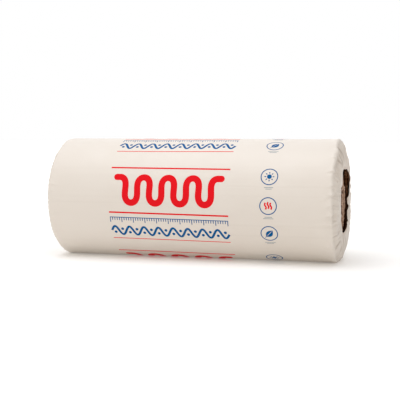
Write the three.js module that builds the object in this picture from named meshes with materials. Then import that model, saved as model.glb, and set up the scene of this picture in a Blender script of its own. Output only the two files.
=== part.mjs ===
// A roll of mineral wool insulation mat, wrapped in polyethylene film and lying
// on its side.
//
// Units are millimetres and +Z is up. The roll's axis runs along X, through
// Z = ROLL_DIAMETER / 2, and the origin is under the middle of the roll, on the
// surface that it rests on.
//
// wool_roll  the mat, rolled up: one turned solid with a narrow bore. Its turns
//            show as steps on both ends.
// film_wrap  the film round it: one thin skin that covers the side, turns over
//            both shoulders, and stops at a round opening in each end.

import * as THREE from 'three';

// Whole roll
const ROLL_LENGTH = 1220; // along X, over the film of both ends: the mat's width
const ROLL_DIAMETER = 500; // over the film, across the facets
const FACETS = 48; // round the roll, with one of them flat underneath

// The shoulder between the side and each end turns fastest where it leaves the
// side. At a sharpness of 1 it would be a quarter of an ellipse.
const SHOULDER_RADIAL = 89;
const SHOULDER_AXIAL = 32;
const SHOULDER_SHARPNESS = 1.48;
const SHOULDER_STEPS = 6;

// Film
const FILM_THICKNESS = 1.2; // the layers of film together
const FILM_GAP = 0.3; // between the film and the wool
const OPENING_DIAMETER = 262; // the hole that the film leaves in each end

// Wool
const BORE_RADIUS = 20; // the hollow inside the first turn
const TURN_PITCH = 22; // one turn of the compressed mat
const TURN_GROOVE = 4; // how far the seam between two turns is let in
const TURN_GROOVE_WIDTH = 5;
const END_DISH = 18; // how far the innermost turn is set back from the ends

const halfLength = ROLL_LENGTH / 2;
// A facet's middle is nearer the axis than its corners are.
const cornerRadius = ROLL_DIAMETER / 2 / Math.cos(Math.PI / FACETS);
// Both ends are flat from the shoulder in to here, and the wool's is stepped
// inside it.
const openingRadius = OPENING_DIAMETER / 2;

// The roll's outline from the edge of the film's opening at one end, over that
// shoulder, along the side and over the other shoulder, as (radius, height).
// inset moves the whole outline into the roll.
function outline(inset) {
  const end = [];
  const radial = SHOULDER_RADIAL - inset;
  const axial = SHOULDER_AXIAL - inset;
  for (let i = 0; i <= SHOULDER_STEPS; i++) {
    const turn = (i / SHOULDER_STEPS) * (Math.PI / 2);
    end.push(new THREE.Vector2(
      cornerRadius - SHOULDER_RADIAL + radial * Math.sin(turn),
      halfLength - SHOULDER_AXIAL + axial * Math.cos(turn) ** SHOULDER_SHARPNESS,
    ));
  }
  // end now runs from the flat of the upper end out to the side.
  const upper = [new THREE.Vector2(openingRadius, halfLength - inset), ...end];
  const lower = upper.map((p) => new THREE.Vector2(p.x, -p.y));
  return [...lower, ...upper.reverse()];
}

// How far the wool's end is set back at a radius inside the flat ring.
function dish(radius) {
  const share = Math.min(1, radius / openingRadius);
  return END_DISH * (1 - share * share);
}

// The wool's upper end from the flat ring to the bore: each turn is a ring with
// a groove between it and the next one.
function woolEnd(inset) {
  const points = [];
  const add = (radius, below) => points.push(
    new THREE.Vector2(radius, halfLength - inset - dish(radius) - below),
  );
  const side = TURN_GROOVE_WIDTH / 2;
  let seam = openingRadius - side;
  while (seam - TURN_PITCH > BORE_RADIUS) {
    add(seam, TURN_GROOVE);
    add(seam - side, 0);
    add(seam - TURN_PITCH + side, 0);
    seam -= TURN_PITCH;
  }
  add(seam, TURN_GROOVE);
  add(seam - side, 0);
  add(BORE_RADIUS, 0);
  return points;
}

// A closed outline turned round the roll's axis, with a flat facet underneath.
function turned(points) {
  const closed = [...points, points[0].clone()];
  return new THREE.LatheGeometry(closed, FACETS, Math.PI / FACETS);
}

function rollPiece(name, geometry, material) {
  const mesh = new THREE.Mesh(geometry, material);
  mesh.name = name;
  mesh.rotation.z = -Math.PI / 2; // the turning axis Y becomes X
  mesh.position.z = ROLL_DIAMETER / 2;
  return mesh;
}

// Film: outside from one opening to the other, and back along the inside.
const filmOutside = outline(0);
const filmInside = outline(FILM_THICKNESS).reverse();
const filmWrap = rollPiece(
  'film_wrap',
  turned([...filmOutside, ...filmInside]),
  new THREE.MeshStandardMaterial({
    color: 0xefe8dd,
    roughness: 0.42,
    metalness: 0,
    flatShading: true,
  }),
);

// Wool: the same outline inside the film, closed over both ends to the bore.
const woolInset = FILM_THICKNESS + FILM_GAP;
const upperEnd = woolEnd(woolInset);
const lowerEnd = upperEnd.map((p) => new THREE.Vector2(p.x, -p.y)).reverse();
const woolRoll = rollPiece(
  'wool_roll',
  turned([...lowerEnd, ...outline(woolInset), ...upperEnd]),
  new THREE.MeshStandardMaterial({
    color: 0x8f7058,
    roughness: 1,
    metalness: 0,
    flatShading: true,
  }),
);

const insulationRoll = new THREE.Group();
insulationRoll.add(woolRoll, filmWrap);

export default insulationRoll;
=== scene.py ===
"""The looks of a wrapped roll of mineral wool insulation, built round its CAD frame.

Everything is in metres in the row frame: the roll's axis runs along +X at the
height of its radius, the printed side faces -Y, and the floor is at z = 0.

An angle round the roll (turn) is 0 at the front (-Y) and grows upwards, so the
top is at 90 degrees, the back at 180 and the underside at 270.
"""

import math

import bpy
import numpy as np
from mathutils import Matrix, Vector
from mathutils.geometry import delaunay_2d_cdt


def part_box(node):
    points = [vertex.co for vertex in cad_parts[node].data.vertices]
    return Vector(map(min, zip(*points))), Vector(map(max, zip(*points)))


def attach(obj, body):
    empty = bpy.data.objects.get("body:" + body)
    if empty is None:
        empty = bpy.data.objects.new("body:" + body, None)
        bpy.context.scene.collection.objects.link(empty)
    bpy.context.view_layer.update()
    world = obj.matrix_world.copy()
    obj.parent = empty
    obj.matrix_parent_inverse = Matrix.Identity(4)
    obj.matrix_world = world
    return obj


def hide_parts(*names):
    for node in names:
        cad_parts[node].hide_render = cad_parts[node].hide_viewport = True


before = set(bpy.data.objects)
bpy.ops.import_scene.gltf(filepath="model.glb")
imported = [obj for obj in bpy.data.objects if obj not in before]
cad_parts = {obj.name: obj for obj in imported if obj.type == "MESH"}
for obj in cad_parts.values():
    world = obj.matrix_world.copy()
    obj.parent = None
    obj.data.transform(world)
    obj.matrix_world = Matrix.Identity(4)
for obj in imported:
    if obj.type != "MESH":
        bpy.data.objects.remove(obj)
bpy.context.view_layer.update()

# ---------------------------------------------------------------- sizes
lo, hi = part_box("film_wrap")
HALF = (hi.x - lo.x) / 2  # half the roll's length
RADIUS = (hi.z - lo.z) / 2
AXIS_Z = (hi.z + lo.z) / 2
SHOULDER_R = 0.089  # the shoulder between the side and an end, across the roll
SHOULDER_X = 0.032  # and along it
SHARPNESS = 1.48  # it turns fastest near the side; at 1 it would be an ellipse
CREST = RADIUS - SHOULDER_R  # where the shoulder meets the flat of the end
SIDE_END = HALF - SHOULDER_X
BORE = 0.019
PITCH = 0.022  # one turn of the mat
FILM = 0.0008  # thickness of the film's mesh
SETTLE = 0.0055  # how far the soft underside is pressed flat
SEAM = math.radians(207)  # where the outer edge of the film lies, at the back

COLUMNS = 480


# ---------------------------------------------------------------- noise
def fade(t):
    return t * t * t * (t * (t * 6 - 15) + 10)


def smooth(t):
    t = np.clip(t, 0, 1)
    return t * t * (3 - 2 * t)


def noise2(u, v, seed, around=64):
    """Smooth noise from -1 to 1 at (u, v). It repeats every `around` cells of u."""
    table = np.random.default_rng(seed).uniform(-1, 1, (around, 256))
    u, v = np.broadcast_arrays(np.asarray(u, float), np.asarray(v, float))
    iu, iv = np.floor(u).astype(int), np.floor(v).astype(int)
    fu, fv = fade(u - iu), fade(v - iv)
    a, b = table[iu % around, iv % 256], table[(iu + 1) % around, iv % 256]
    c, d = table[iu % around, (iv + 1) % 256], table[(iu + 1) % around, (iv + 1) % 256]
    return (a * (1 - fu) + b * fu) * (1 - fv) + (c * (1 - fu) + d * fu) * fv


def round_noise(turn, along, cells, size, seed):
    """Noise round the roll, in `cells` cells a turn and cells of `size` metres the other way."""
    return noise2(turn / (2 * np.pi) * cells, along / size, seed, around=cells)


def wrapped(angle):
    return (angle + np.pi) % (2 * np.pi) - np.pi


# ---------------------------------------------------------------- the ends
def by_angle(turn, table):
    """A smooth closed curve through (degrees, value) pairs."""
    d = np.array([p[0] for p in table], float)
    v = np.array([p[1] for p in table], float)
    d = np.concatenate([d - 360, d, d + 360])
    v = np.concatenate([v, v, v])
    x = np.degrees(turn) % 360
    i = np.clip(np.searchsorted(d, x, side="right") - 1, 0, len(d) - 2)
    t = (x - d[i]) / (d[i + 1] - d[i])
    t = t * t * (3 - 2 * t)
    return v[i] * (1 - t) + v[i + 1] * t


# The edge of the film's opening, as radius by angle, at the right (+1) and the
# left (-1) end, before it is made ragged.
OPENING = {
    1: [
        (0, 0.133), (24, 0.136), (30, 0.140), (37, 0.143), (46, 0.150), (56, 0.151),
        (64, 0.143), (75, 0.134), (85, 0.130), (95, 0.1295), (108, 0.132), (120, 0.138),
        (132, 0.147), (143, 0.152), (152, 0.150), (160, 0.143), (168, 0.139), (173, 0.131),
        (190, 0.132), (200, 0.128), (208, 0.134), (218, 0.131), (235, 0.133), (255, 0.1300),
        (268, 0.1285), (285, 0.1295), (300, 0.134), (315, 0.138), (335, 0.136), (350, 0.134),
    ],
    -1: [
        (0, 0.128), (24, 0.134), (40, 0.143), (52, 0.139), (62, 0.131), (78, 0.130),
        (92, 0.136), (108, 0.134), (122, 0.129), (136, 0.136), (150, 0.146), (160, 0.143),
        (172, 0.133), (190, 0.131), (204, 0.137), (214, 0.130), (236, 0.127), (250, 0.133),
        (262, 0.129), (280, 0.134), (292, 0.141), (304, 0.136), (318, 0.128), (345, 0.130),
    ],
}
# How far the film's edge has sunk into the end, in millimetres by angle: its
# flaps hang in by different amounts.
SUNK = {
    1: [
        (0, 5.5), (9, 5.3), (14, 6.2), (19, 7.0), (23.5, 7.8), (26.5, 7.2), (29, 3.0), (31, 1.9), (35, 1.9),
        (43, 3.0), (49, 5.4), (56, 5.2), (63, 5.2), (69, 3.6), (80, 2.0), (90, 0.8), (97, 0.2),
        (106, 2.0), (113, 2.7), (122, 3.1), (128, 2.2), (134, 0.4), (141, -0.2), (149, 0.0),
        (153, 3.0), (155, 3.6), (159, 2.6), (164, 4.3), (169, 3.5), (173.5, 4.0), (176, 6.9),
        (179, 11.2), (184, 10.1), (188, 9.2), (192, 4.3), (194.5, 3.6), (198.5, 5.6), (202, 8.9),
        (206, 9.1), (212, 7.8), (217, 6.1), (221, 3.0), (226, 6.1), (230, 4.4), (233, 4.9),
        (237, 4.2), (243, 5.4), (250, 7.0), (262, 8.4), (271, 8.8), (280, 8.6), (290, 7.8),
        (298, 8.0), (306, 6.4), (318, 5.4), (324, 5.2), (331, 6.6), (334, 6.0), (337, 8.0), (340, 4.4),
        (344, 6.2), (349, 5.6), (354, 5.6),
    ],
    -1: [
        (0, 8.0), (18, 6.0), (34, 9.5), (52, 11.0), (60, 7.0), (78, 5.0), (92, 7.5), (110, 10.0),
        (122, 9.0), (131, 4.0), (150, 2.5), (172, 5.0), (186, 9.0), (196, 6.5), (210, 9.5),
        (226, 12.0), (238, 8.5), (252, 11.0), (270, 12.5), (288, 10.0), (296, 7.0), (312, 9.5),
        (330, 10.5), (346, 9.0),
    ],
}
# Inside the opening the turns have sunk, but along some arcs they still stand
# level with the film: (the turn's radius, first degree, last degree).
LEVEL_ARCS = {
    1: [(0.040, -26, 32), (0.060, -34, 49), (0.082, -47, 50), (0.104, -55, 51), (0.126, -61, 52), (0.150, -66, 59)],
    -1: [(0.040, 150, 190), (0.060, 130, 200), (0.082, 120, 214), (0.104, 106, 208), (0.126, 96, 226), (0.150, 90, 232)],
}


# Torn places in the level turns, in metres across and up from the axis: where,
# half their size, and how dark they are painted, as shade in the torn hollow.
TEARS = {
    1: [
        (-0.104, 0.044, 0.034, 0.0085, 0.80), (-0.084, -0.038, 0.026, 0.0055, 0.68),
        (-0.105, -0.064, 0.010, 0.0070, 0.50), (-0.152, 0.003, 0.014, 0.0050, 0.50),
    ],
    -1: [(0.090, 0.052, 0.024, 0.0070, 0.70), (0.118, -0.020, 0.020, 0.0060, 0.60)],
}
# How much the sunk turns next to the film lie in its shade.
SHADE = {
    1: [(0, 0.80), (95, 0.86), (126, 0.55), (143, 0.30), (160, 0.55), (176, 0.90), (262, 0.90), (300, 0.80)],
    -1: [(0, 0.60), (70, 0.85), (160, 0.70), (240, 0.85), (300, 0.50)],
}
# Where the rim is pulled smooth, as (angle, half width, how much).
CALM = {1: (3.1, 0.55, 0.45), -1: (0.05, 1.25, 0.78)}
# Where the film lies close on the shoulder, as (angle, half width, how much).
CLOSE = {1: [(1.46, 0.36, 0.80), (4.48, 0.24, 0.70)], -1: []}


# How far the film round the opening lies back, as (degrees, millimetres) and
# the radius from which it does.
BACK = {
    1: (
        [
            (0, 2.6), (9, 4.0), (17, 8.4), (21, 10.0), (26, 7.0), (31, 1.4), (45, 0.5), (80, 0.5), (100, 2.0), (114, 4.4), (128, 4.2), (140, 1.5),
            (150, 0.5), (164, 2.0), (174, 0.5), (190, -2.0), (205, -1.5), (218, 0.3), (232, 1.5), (243, 4.2),
            (255, 2.4), (262, 2.8), (280, 1.0), (310, 0.5), (326, 1.4), (336, 6.2), (344, 7.4), (349, 9.4), (353, 8.6), (357, 5.0),
        ],
        [(0, 0.220), (60, 0.216), (92, 0.247), (270, 0.247), (300, 0.216)],
    ),
    -1: ([(0, 0.0), (70, 1.0), (180, 0.5), (250, 1.5)], [(0, 0.22), (180, 0.22)]),
}


def opening(turn, side):
    edge = by_angle(turn, OPENING[side])
    edge = edge + 0.0016 * round_noise(turn, 0.3, 31, 1.0, 11 + side)
    edge = edge + 0.0011 * round_noise(turn, 0.3, 83, 1.0, 14 + side)
    edge = edge + 0.0005 * round_noise(turn, 0.3, 167, 1.0, 20 + side)
    return edge


def hang(r, turn, side):
    """How far the film lies behind the end's plane at r, round its opening."""
    edge = opening(turn, side)
    total = by_angle(turn, SUNK[side]) / 1000
    broad = sum(by_angle(turn + math.radians(d), SUNK[side]) for d in range(-18, 19, 6)) / 7000
    back = by_angle(turn, BACK[side][0]) / 1000
    depth = back * smooth((by_angle(turn, BACK[side][1]) - r) / 0.034)
    depth = depth + (broad - back) * smooth((0.200 - r) / (0.200 - edge))
    return depth + (total - broad) * smooth((edge + 0.024 - r) / 0.024)


def outline_table():
    """The outline of an end: radius, distance behind the end's plane and outward normal, by length from the side."""
    t = np.linspace(0, np.pi / 2, 3000)
    u, w = np.cos(t), np.sin(t) ** SHARPNESS
    r = CREST + SHOULDER_R * u
    back = SHOULDER_X * (1 - w)
    nr, nx = 2 * u / SHOULDER_R, (2 / SHARPNESS) * w ** (2 / SHARPNESS - 1) / SHOULDER_X
    k = np.hypot(nr, nx)
    length = np.concatenate([[0], np.cumsum(np.hypot(np.diff(r), np.diff(back)))])
    flat = np.linspace(0.0005, CREST - 0.004, 200)
    return (
        np.concatenate([length, length[-1] + flat]),
        np.concatenate([r, CREST - flat]),
        np.concatenate([back, 0 * flat]),
        np.concatenate([nr / k, 0 * flat]),
        np.concatenate([nx / k, 0 * flat + 1]),
    )


OUTLINE = outline_table()


def outline(s):
    return [np.interp(s, OUTLINE[0], OUTLINE[i]) for i in (1, 2, 3, 4)]


def length_at(r):
    return np.interp(r, OUTLINE[1][::-1], OUTLINE[0][::-1])


JOIN = float(length_at(0.214))  # from here inwards the film's rows follow its opening


def level_share(middle, turn, side):
    """How far the turn whose middle is at that radius still stands level with the film, from 0 to 1."""
    arcs = np.array(LEVEL_ARCS[side], float)
    first, last = (np.interp(middle, arcs[:, 0], arcs[:, i]) for i in (1, 2))
    centre = (first + last) / 2
    off = np.degrees(wrapped(turn - np.radians(centre)))
    off = off + 7.0 * round_noise(turn, middle, 23, 0.022, 35 + side)
    off = off + 4.0 * round_noise(turn, middle, 61, 0.009, 39 + side)
    ends = smooth(0.5 + ((last - first) / 2 - np.abs(off)) / 23)
    return ends * smooth((middle - 0.043) / 0.009)


# ---------------------------------------------------------------- film surface
def film_rows():
    """The rows of half the film from the opening to the middle of the side, as (kind, value)."""
    rows = [("end", t) for t in np.linspace(0, 1, 27)[:-1] ** 1.15]
    rows += [("shoulder", JOIN * t) for t in np.linspace(1, 0, 12)[:-1] ** 1.3]
    steps = np.concatenate([np.arange(0, 0.11, 0.0062), np.arange(0.11, SIDE_END - 0.014, 0.026)])
    rows += [("side", SIDE_END - s) for s in steps]
    return rows


# Folds of the ends that are listed one by one, as (degrees, start, lean, height, width).
FOLDS = {
    1: [
        (65.5, 0.004, -1.0, 0.0040, 5.0), (53.0, 0.006, -2.2, 0.0038, 4.5), (38.0, 0.002, 0.9, 0.0030, 6.0),
        (-47.0, 0.006, 1.6, 0.0034, 5.0), (-57.5, 0.003, 0.9, 0.0032, 5.0),
    ],
    -1: [],
}
# Puckers on the side where it meets an end, as (degrees, length, lean, height).
PUCKERS = {
    1: [
        (46, 0.030, 1.6, 0.0018), (31.5, 0.036, 1.2, 0.0036), (17.5, 0.032, 2.2, 0.0021),
        (9.0, 0.060, 2.4, 0.0034), (0.2, 0.036, 2.0, 0.0035), (-8.6, 0.048, 1.6, 0.0052),
        (-17.0, 0.064, 0.3, 0.0045), (-27, 0.035, -0.8, 0.0022), (-41, 0.045, 0.9, 0.0021),
    ],
    -1: [(15.5, 0.058, 0.7, 0.0052), (9.0, 0.034, -0.5, 0.0040), (-13.0, 0.050, -0.6, 0.0052), (-17.5, 0.030, 0.6, 0.0040), (-31.0, 0.046, 0.4, 0.0046)],
}


# Creases of the ends that are listed one by one: their course as (degrees, radius)
# from the rim inwards, their depth, how dark they are painted (painted shade, with the wool
# partly showing through), their width and how much wider they get inwards.
CREASES = {
    1: [
        ([(62.6, 0.247), (64.6, 0.231), (65.4, 0.218), (67.2, 0.198), (68.2, 0.165)], 0.0028, 1.10, 0.0040, 1.9),
        ([(57.0, 0.241), (55.8, 0.226), (54.4, 0.209), (52.6, 0.182)], 0.0018, 1.00, 0.0032, 1.5),
        ([(49.4, 0.244), (48.2, 0.228), (47.6, 0.215), (47.8, 0.196), (48.6, 0.166)], 0.0020, 0.85, 0.0034, 1.5),
        ([(40.5, 0.243), (37.5, 0.226)], 0.0016, 0.60, 0.0040),
        ([(-2.5, 0.245), (-1.0, 0.226)], 0.0010, 0.45, 0.0028),
        ([(-13.5, 0.246), (-15.5, 0.222)], 0.0012, 0.50, 0.0028),
        ([(-30.5, 0.249), (-30.0, 0.237), (-31.8, 0.210)], 0.0014, 0.70, 0.0030),
        ([(-46.2, 0.243), (-43.9, 0.235), (-42.4, 0.225), (-42.6, 0.203)], 0.0030, 1.4, 0.0038),
        ([(-57.0, 0.243), (-59.0, 0.222)], 0.0014, 0.50, 0.0028),
    ],
    -1: [],
}
# How dark the line of painted shade is where the film of an end turns in under its own fold.
RIM_LINE = {
    1: [
        (0, 0.10), (8, 0.0), (14, 0.15), (20, 0.0), (26, 0.1), (33, 0.05), (40, 0.70), (47, 0.25), (55, 0.15),
        (63, 0.60), (74, 0.20), (90, 0.2), (120, 0.4), (150, 0.1), (185, 0.3), (220, 0.1), (262, 0.35),
        (285, 0.2), (302, 0.20), (312, 0.0), (320, 0.1), (327, 0.3), (334, 0.0), (340, 0.0), (346, 0.35),
        (352, 0.15), (357.5, 0.4),
    ],
    -1: [
        (10, 0.3), (30, 0.0), (52, 0.6), (70, 0.2), (96, 0.7), (118, 0.1), (140, 0.4), (163, 0.9),
        (180, 0.2), (207, 0.5), (228, 0.0), (251, 0.6), (280, 0.1), (301, 0.7), (330, 0.2),
    ],
}
# How far the fold of the film stands out over the shoulder, from 0 to 1.
BROW = {1: (0.89, 0.235), -1: (2.15, 0.30)}


def crease_table(side):
    rng = np.random.default_rng(283 + side)
    table = [([math.radians(d) for d, _ in way], [r for _, r in way], *rest) for way, *rest in CREASES[side]]
    a = 0.0
    while a < 2 * np.pi:
        a += rng.uniform(0.14, 0.42)
        first, last, lean = rng.uniform(0.236, 0.249), rng.uniform(0.176, 0.216), rng.uniform(-0.10, 0.10)
        bend = rng.uniform(-0.03, 0.03)
        entry = ([a, a + lean / 2 + bend, a + lean], [first, (first + last) / 2, last], rng.uniform(0.0009, 0.0021), rng.uniform(0.2, 0.85), rng.uniform(0.0026, 0.0036))
        if side < 0 or 1.35 < a < 5.1:
            table.append(entry)
    # long faint ones, from the rim almost to the opening
    a = 0.0
    while a < 2 * np.pi:
        a += rng.uniform(0.05, 0.19)
        first, last, lean = rng.uniform(0.238, 0.252), rng.uniform(0.142, 0.196), rng.uniform(-0.13, 0.13)
        bend = rng.uniform(-0.02, 0.02)
        table.append(([a, a + lean / 2 + bend, a + lean], [first, (first + last) / 2, last], rng.uniform(0.0005, 0.0013), rng.uniform(0.06, 0.30), rng.uniform(0.0020, 0.0034)))
    return table


def fold_table(side):
    """The pleats of an end: angle, start, lean, height, width of the gentle side, which side is steep, and where it fades."""
    rng = np.random.default_rng(83 + side)
    gaps = rng.uniform(0.45, 1.6, 38)
    at = np.cumsum(gaps) / gaps.sum() * 2 * np.pi
    table = []
    for a, gap in zip(at, gaps / gaps.sum() * 2 * np.pi):
        start, lean = rng.uniform(-0.010, 0.030), rng.uniform(-1.1, 0.8)
        height, width, face = rng.uniform(0.0012, 0.0040), gap * rng.uniform(0.4, 0.8), rng.choice([1, 1, 1, 1, -1])
        if all(abs(wrapped(a - math.radians(f[0]))) > 0.06 for f in FOLDS[side]):
            table.append((a, start, lean, height, width, face))
    table = [(*entry, 1.0) for entry in table]
    table += [(math.radians(d), s, l, h, math.radians(w), 1, 0.048) for d, s, l, h, w in FOLDS[side]]
    return table


def pucker_table(side):
    rng = np.random.default_rng(183 + side)
    table = [(math.radians(d), length, lean, h) for d, length, lean, h in PUCKERS[side]]
    a = 0.0
    while a < 2 * np.pi:
        a += rng.uniform(0.10, 0.30)
        entry = (a, rng.uniform(0.022, 0.062), rng.uniform(-2.4, 2.4), rng.uniform(0.0010, 0.0027))
        if side < 0 or 1.0 < a < 5.4:
            table.append(entry)
    return table


PLEATS = {side: fold_table(side) for side in (1, -1)}
TUCKS = {side: pucker_table(side) for side in (1, -1)}
CREASE_LINES = {side: crease_table(side) for side in (1, -1)}


def creases(turn, m, side):
    """The narrow creases of an end: their relief, and how dark they are painted: painted shade, with the wool partly
    showing through.
    """
    r = np.interp(m, OUTLINE[0], OUTLINE[1])
    relief, dark = np.zeros(len(turn)), np.zeros(len(turn))
    for angles, radii, deep, wool_and_shade, width, *more in CREASE_LINES[side]:
        at = np.interp(r, radii[::-1], angles[::-1])
        off = wrapped(turn - at) * r
        run = smooth((radii[0] + 0.003 - r) / 0.010) * smooth((r - radii[-1] + 0.006) / 0.020)
        width = width * (1 + sum(more) * smooth((radii[0] - r) / 0.045))
        line = np.exp(-((off / width) ** 2))
        relief = relief + run * deep * (0.45 * np.exp(-(((np.abs(off) - 0.0065) / 0.0045) ** 2)) - line)
        dark = np.maximum(dark, run * wool_and_shade * line)
    return relief, dark


def gathers(turn, m, side):
    """Folds that run over the shoulder and across the end, where the film has more width than it needs."""
    r = np.interp(m, OUTLINE[0], OUTLINE[1])
    wander = turn + 0.030 * round_noise(turn, m + 1, 9, 0.09, 71 + side)
    wander = wander + 0.010 * round_noise(turn, m + 1, 31, 0.03, 73 + side)
    grow = smooth((m + 0.004) / 0.060)
    big = 0.30 - np.abs(round_noise(wander, m + 1, 23, 0.12, 75 + side))
    fine = round_noise(wander, m + 1, 127, 0.045, 79 + side)
    height = 0.0030 * grow * big + 0.0006 * grow * fine
    for at, start, lean, tall, width, face, stop in PLEATS[side]:
        off = face * wrapped(wander - at - lean * np.clip(m - start, 0, None))
        steep = 0.0034 / r
        shape = np.where(off < 0, smooth(1 + off / steep), np.exp(-np.abs(off / width) ** 1.4))
        mean = (0.9 * width + 0.5 * steep) / (2 * np.pi)
        run = smooth((m - start + 0.006) / 0.030) * (1 - smooth((m - stop) / 0.022))
        height = height + tall * run * (shape - mean)
    # puckers that run out on the side
    for at, length, lean, tall in TUCKS[side]:
        off = wrapped(turn - at - lean * m) * RADIUS
        shape = np.where(off < 0, np.exp(-((off / 0.0030) ** 2)), np.exp(-((off / 0.0058) ** 2)))
        shape = shape - 0.45 * np.exp(-(((off + 0.0075) / 0.0050) ** 2))
        run = smooth((m + length) / length) ** 1.5 * (1 - smooth((m - 0.010) / 0.030))
        height = height + tall * run * shape
    return height


def film_shape(turn, kind, value, side):
    """One row of the film for an array of angles: radius, place along the roll, how far it is on the end, how low it
    lies (which is painted as shade in its hollows) and how dark its creases are painted (painted shade, with the wool
    partly showing through).
    """
    n = len(turn)
    if kind == "side":
        r, x = np.full(n, RADIUS), np.full(n, value)
        nr, nx = np.ones(n), np.zeros(n)
        m = np.full(n, value - SIDE_END)
        gap = np.full(n, 1.0)
    else:
        s_edge = length_at(opening(turn, side))
        m = s_edge + value * (JOIN - s_edge) if kind == "end" else np.full(n, value)
        r, back, nr, nx = outline(m)
        gap = s_edge - m
        x = HALF - back - hang(r, turn, side)
    along = side * (SIDE_END + m)  # signed length along the film, so that the halves join

    # slow unevenness of the soft roll underneath
    d = 0.0008 * round_noise(turn, along + 3, 6, 0.26, 3)
    d = d + 0.00035 * round_noise(turn, along + 3, 15, 0.12, 4)
    # faint lines along the roll, where the film is pulled tight
    pull = round_noise(turn + 0.02 * np.sin(along * 5), along + 3, 88, 0.55, 5)
    d = d + 0.00020 * np.abs(pull) ** 1.5 * np.sign(pull)
    # the fold that the film takes where it turns over, and the dents along it
    tight = 0.65 + 0.35 * round_noise(turn, 0.4, 11, 1.0, 27 + side) + 0.35 * np.exp(-((wrapped(turn - 0.85) / 0.5) ** 2))
    brow = np.exp(-((wrapped(turn - BROW[side][0]) / BROW[side][1]) ** 2))
    d = d + tight * (0.0010 * np.exp(-(((m + 0.003) / 0.005) ** 2)) - 0.0026 * (1 - brow) * np.exp(-(((m - 0.015) / 0.008) ** 2)))
    d = d + brow * (0.0044 * np.exp(-(((m - 0.0085) / 0.0085) ** 2)) - 0.0026 * np.exp(-(((m - 0.030) / 0.010) ** 2)))
    at, half, much = CALM[side]
    calm = 1 - much * np.exp(-(np.abs(wrapped(turn - at) / half) ** 3)) * (1 - smooth((m - 0.04) / 0.03))
    near = smooth((m + 0.026) / 0.025) * (1 - smooth((m - 0.055) / 0.05)) * (calm if side < 0 else 1)
    crown = 1 - 0.75 * np.exp(-((wrapped(turn - 1.62) / 0.30) ** 2)) * (1 - smooth((m - 0.012) / 0.02))
    d = d + crown * near * 0.0027 * round_noise(turn + 0.25 * m, m + 1, 37, 0.030, 21 + side)
    d = d + crown * near * 0.0017 * round_noise(turn, m + 1, 71, 0.018, 24 + side)
    tied = 1.0
    for at, half, much in CLOSE[side]:
        tied = tied - much * np.exp(-(np.abs(wrapped(turn - at) / half) ** 3)) * (1 - smooth((m - 0.010) / 0.020))
    d = d + calm * tied * gathers(turn, m, side)
    # painted shade: how low the film lies, which darkens its hollows in its colour
    low = smooth(0.5 - d / 0.0050)
    relief, dark = creases(turn, m, side)
    d = d + relief
    # painted shade along the line where the film of the end turns in under its fold
    rim = by_angle(turn, RIM_LINE[side]) * (0.8 + 0.4 * round_noise(turn, 0.9, 61, 1.0, 31 + side))
    dark = np.maximum(dark, rim * np.exp(-(((m - 0.011 - 0.007 * brow) / 0.0055) ** 2)))
    if kind != "side":
        d = d * smooth(0.12 + gap / 0.034) - 0.0006 * np.exp(-gap / 0.004)
        d = d + 0.0006 * round_noise(turn, 0.7, 43, 1.0, 29 + side) * np.exp(-gap / 0.007)
        d = np.maximum(d, -0.0046)
    if side < 0:
        # this end turns over more gently, above and below
        above, below = smooth((np.sin(turn) - 0.45) / 0.45), smooth((-np.sin(turn) - 0.62) / 0.34)
        d = d - (0.0030 * above + 0.0060 * below) * np.exp(-(((m - 0.006) / 0.014) ** 2))
    r, x = r + d * nr, x + d * nx
    # the film's outer edge lies over its start at the back
    lap = wrapped(SEAM - turn)
    over = np.where((lap >= 0) & (lap < 0.30), 1 - smooth((lap - 0.24) / 0.06), 0.0)
    lift = (0.0011 * over) * (1 - smooth((m - 0.06) / 0.08))
    r, x = r + lift * nr, x + lift * nx
    on_end = smooth((m - 0.002 - 0.007 * brow) / 0.011)
    return r, side * x, on_end, low * smooth((m - 0.004) / 0.030), dark


def settle(z):
    """Presses the underside of the soft roll flat on the floor."""
    z = z - SETTLE
    return 0.5 * (z + np.sqrt(z * z + 0.0018**2))


def place(r, x, turn):
    return np.stack([x, -r * np.cos(turn), settle(AXIS_Z + r * np.sin(turn))], axis=-1)


def columns():
    """The angles of the film's columns, closest at the front. Two of them stand close together at the seam, so that its step is steep."""
    fine = np.linspace(0, 2 * np.pi, 7201)
    dense = 1 + 0.45 * smooth((1.75 - np.abs(wrapped(fine - 0.12))) / 0.4)
    share = np.concatenate([[0], np.cumsum((dense[1:] + dense[:-1]) / 2)])
    t = np.interp(np.arange(COLUMNS) / COLUMNS * share[-1], share, fine)
    k = int(np.argmin(np.abs(t - SEAM)))
    t[k] = SEAM
    t[(k + 1) % COLUMNS] = SEAM + 0.0035
    return t


def grid_normals(p):
    """Unit normals of a grid of points, rows by columns, whose columns close round."""
    across = np.roll(p, -1, axis=1) - np.roll(p, 1, axis=1)
    down = np.gradient(p, axis=0)
    n = np.cross(across, down)
    n /= np.linalg.norm(n, axis=-1, keepdims=True) + 1e-12
    return n


def build_mesh(name, points, faces, smooth_shade=True):
    me = bpy.data.meshes.new(name)
    faces = np.asarray(faces, np.int32)
    width = faces.shape[1]
    me.vertices.add(len(points))
    me.vertices.foreach_set("co", np.asarray(points, np.float32).ravel())
    me.loops.add(faces.size)
    me.loops.foreach_set("vertex_index", faces.ravel())
    me.polygons.add(len(faces))
    me.polygons.foreach_set("loop_start", np.arange(len(faces), dtype=np.int32) * width)
    me.polygons.foreach_set("loop_total", np.full(len(faces), width, np.int32))
    me.polygons.foreach_set("use_smooth", np.full(len(faces), smooth_shade))
    me.update(calc_edges=True)
    return me


def add_object(me):
    ob = bpy.data.objects.new(me.name, me)
    bpy.context.scene.collection.objects.link(ob)
    return ob


def set_attribute(me, name, values):
    me.attributes.new(name, "FLOAT", "POINT").data.foreach_set(
        "value", np.asarray(values, np.float32)
    )


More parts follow.
